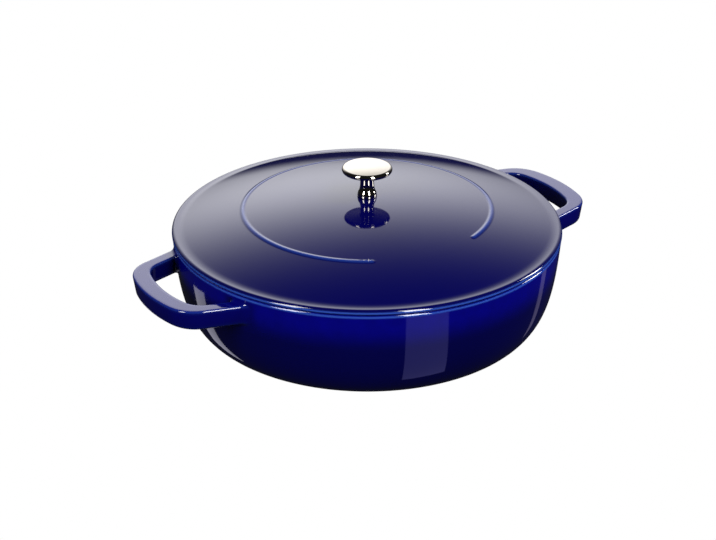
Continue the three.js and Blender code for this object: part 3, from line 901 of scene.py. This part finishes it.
# Studio floor: white paper that glows evenly, as the photograph loses it in white. It shows in no reflection
# and lights nothing, because the pan was taken with dark surroundings below.
paper, tree, output = finish_of("white_paper")
glowing = add(tree, "ShaderNodeEmission", {"Color": (1, 1, 1, 1), "Strength": 1.0})
tree.links.new(glowing.outputs[0], output.inputs["Surface"])
floor_half = 8.0  # metres
floor_corners = [(x * floor_half, y * floor_half, 0) for x, y in ((-1, -1), (1, -1), (1, 1), (-1, 1))]
mesh = bpy.data.meshes.new("studio_floor")
mesh.from_pydata(floor_corners, [], [(0, 1, 2, 3)])
mesh.materials.append(paper)
floor = bpy.data.objects.new("studio_floor", mesh)
bpy.context.scene.collection.objects.link(floor)
floor.visible_glossy = False
floor.visible_diffuse = False

# Camera: a long lens from the front, a little left, looking down on the lid.
camera_place = (-0.68513, -1.07102, 0.66481)  # metres
camera_tilt = 63.829  # degrees up from straight down
camera_turn = -32.305  # degrees about the vertical
camera_data = bpy.data.cameras.new("camera")
camera_data.lens = 94.2
camera_data.sensor_width = 36.0
camera_data.clip_end = 50.0
camera = bpy.data.objects.new("camera", camera_data)
camera.location = camera_place
camera.rotation_euler = (math.radians(camera_tilt), 0, math.radians(camera_turn))
bpy.context.scene.collection.objects.link(camera)
bpy.context.scene.camera = camera

# Studio light: a broad soft glow low behind the pan and three strip lights beside the camera, with two soft
# fills and three lit patches on the table. Away and right are level directions, as the camera sees them.
sight = math.radians(-32.6)
away = (math.sin(-sight), math.cos(-sight), 0)
right = (math.cos(sight), math.sin(sight), 0)

# Lit patches lie on the table, show only in reflections and cast no shadow.
patches = [  # corners in millimetres, to the right of the pan and beyond it, and colour
    ([(-96, -91), (-128, -59), (-207, -3), (-207, -38), (-130, -72)], (1.0, 0.98, 1.2)),
    ([(128, -56), (173, -28), (250, 28), (250, 56), (196, 5), (145, -38)], (0.26, 0.23, 0.36)),
    ([(29, -137), (79, -262), (168, -231), (66, -127), (47, -133)], (0.30, 0.29, 0.85)),
]
for k, (corners, colour) in enumerate(patches):
    lit, tree, output = finish_of(f"lit_table_{k + 1}")
    glowing = add(tree, "ShaderNodeEmission", {"Color": (*colour, 1), "Strength": 1.0})
    tree.links.new(glowing.outputs[0], output.inputs["Surface"])
    mesh = bpy.data.meshes.new(f"lit_patch_{k + 1}")
    spots = [[(x * right[n] + y * away[n]) * MM for n in range(3)] for x, y in corners]
    mesh.from_pydata(spots, [], [list(range(len(spots)))])
    mesh.materials.append(lit)
    patch = bpy.data.objects.new(f"lit_patch_{k + 1}", mesh)
    bpy.context.scene.collection.objects.link(patch)
    patch.visible_camera = False
    patch.visible_diffuse = False
    patch.visible_shadow = False

# The glow fades out evenly from its middle, which lies a little left of the camera's direction, and the table
# cuts it off below. Angles are in degrees. The camera itself sees white behind the pan.
glow_bearing = -6.5
glow_elevation = 20
glow_width = 27
glow_height = 18.5
glow_lean = 0.07  # how much its middle sinks towards the right
glow_colour = (2.8, 2.8, 2.85)
table_cut = (-4.5, 4)  # elevations between which the glow comes up
dim_surround = (0.015, 0.015, 0.015)
world = bpy.data.worlds.new("studio")
bpy.context.scene.world = world
world.use_nodes = True
tree = world.node_tree
tree.nodes.clear()
ray = add(tree, "ShaderNodeTexCoord").outputs["Generated"]
ahead = add(tree, "ShaderNodeVectorMath", {0: ray, 1: away}, operation="DOT_PRODUCT").outputs["Value"]
aside = add(tree, "ShaderNodeVectorMath", {0: ray, 1: right}, operation="DOT_PRODUCT").outputs["Value"]
bearing = add(tree, "ShaderNodeMath", {0: aside, 1: ahead}, operation="ARCTAN2").outputs[0]
rise = add(tree, "ShaderNodeSeparateXYZ", {"Vector": ray}).outputs["Z"]
elevation = add(tree, "ShaderNodeMath", {0: rise}, operation="ARCSINE").outputs[0]
leaning = add(tree, "ShaderNodeMath", {
    0: bearing, 1: glow_lean, 2: elevation,
}, operation="MULTIPLY_ADD").outputs[0]
squares = []
for angle, middle, spread in (
    (bearing, glow_bearing, glow_width),
    (leaning, glow_elevation, glow_height),
):
    off = add(tree, "ShaderNodeMath", {0: angle, 1: math.radians(middle)}, operation="SUBTRACT").outputs[0]
    off = add(tree, "ShaderNodeMath", {0: off, 1: math.pi, 2: -math.pi}, operation="WRAP").outputs[0]
    off = add(tree, "ShaderNodeMath", {0: off, 1: math.radians(spread)}, operation="DIVIDE").outputs[0]
    squares.append(add(tree, "ShaderNodeMath", {0: off, 1: off}, operation="MULTIPLY").outputs[0])
fall = add(tree, "ShaderNodeMath", {0: squares[0], 1: squares[1]}, operation="ADD").outputs[0]
fall = add(tree, "ShaderNodeMath", {0: fall, 1: -1.0}, operation="MULTIPLY").outputs[0]
fall = add(tree, "ShaderNodeMath", {0: fall}, operation="EXPONENT").outputs[0]
above_table = add(tree, "ShaderNodeMapRange", {
    "Value": elevation, "From Min": math.radians(table_cut[0]), "From Max": math.radians(table_cut[1]),
}, interpolation_type="SMOOTHSTEP").outputs["Result"]
fall = add(tree, "ShaderNodeMath", {0: fall, 1: above_table}, operation="MULTIPLY").outputs[0]
glow = add(tree, "ShaderNodeVectorMath", {0: glow_colour, "Scale": fall}, operation="SCALE").outputs[0]
light = add(tree, "ShaderNodeVectorMath", {0: glow, 1: dim_surround}).outputs[0]
surround = add(tree, "ShaderNodeBackground", {"Color": light})
backdrop = add(tree, "ShaderNodeBackground", {"Color": (1, 1, 1, 1)})
seen = add(tree, "ShaderNodeLightPath").outputs["Is Camera Ray"]
both = add(tree, "ShaderNodeMixShader", {0: seen, 1: surround.outputs[0], 2: backdrop.outputs[0]})
add(tree, "ShaderNodeOutputWorld", {"Surface": both.outputs[0]})

# Three tall strip lights hang to the camera's left and right. They streak the knob and the rounded edges.
strips = [  # degrees to the right of the camera, width and height in metres, and power
    (-45.4, 0.5, 2.1, 60),
    (27.5, 0.5, 2.1, 73),
    (108, 0.3, 1.0, 28),
]
strip_distance = 2.0  # metres
strip_foot = 0.42
for k, (turn, width, height, power) in enumerate(strips):
    turn = math.radians(turn)
    towards = [-away[n] * math.cos(turn) + right[n] * math.sin(turn) for n in range(2)]
    data = bpy.data.lights.new(f"strip_{k + 1}", "AREA")
    data.shape = "RECTANGLE"
    data.size = width
    data.size_y = height
    data.energy = power
    strip = bpy.data.objects.new(f"strip_{k + 1}", data)
    strip.location = (towards[0] * strip_distance, towards[1] * strip_distance, strip_foot + height / 2)
    strip.rotation_euler = (math.pi / 2, 0, math.atan2(towards[1], towards[0]) + math.pi / 2)
    bpy.context.scene.collection.objects.link(strip)

# Two soft fills, one overhead and one behind, show in no reflection.
fills = [  # metres to the right, beyond and up, and power
    (1.5, -0.5, 2.3, 52),
    (-0.4, 2.2, 0.9, 40),
]
fill_size = 1.2
for k, (aside, beyond, height, power) in enumerate(fills):
    data = bpy.data.lights.new(f"fill_{k + 1}", "AREA")
    data.shape = "DISK"
    data.size = fill_size
    data.energy = power
    fill = bpy.data.objects.new(f"fill_{k + 1}", data)
    fill.location = [aside * right[n] + beyond * away[n] for n in range(2)] + [height]
    fill.rotation_euler = Vector(fill.location).to_track_quat("Z", "Y").to_euler()
    fill.visible_glossy = False
    bpy.context.scene.collection.objects.link(fill)

bpy.context.scene.view_settings.view_transform = "Standard"
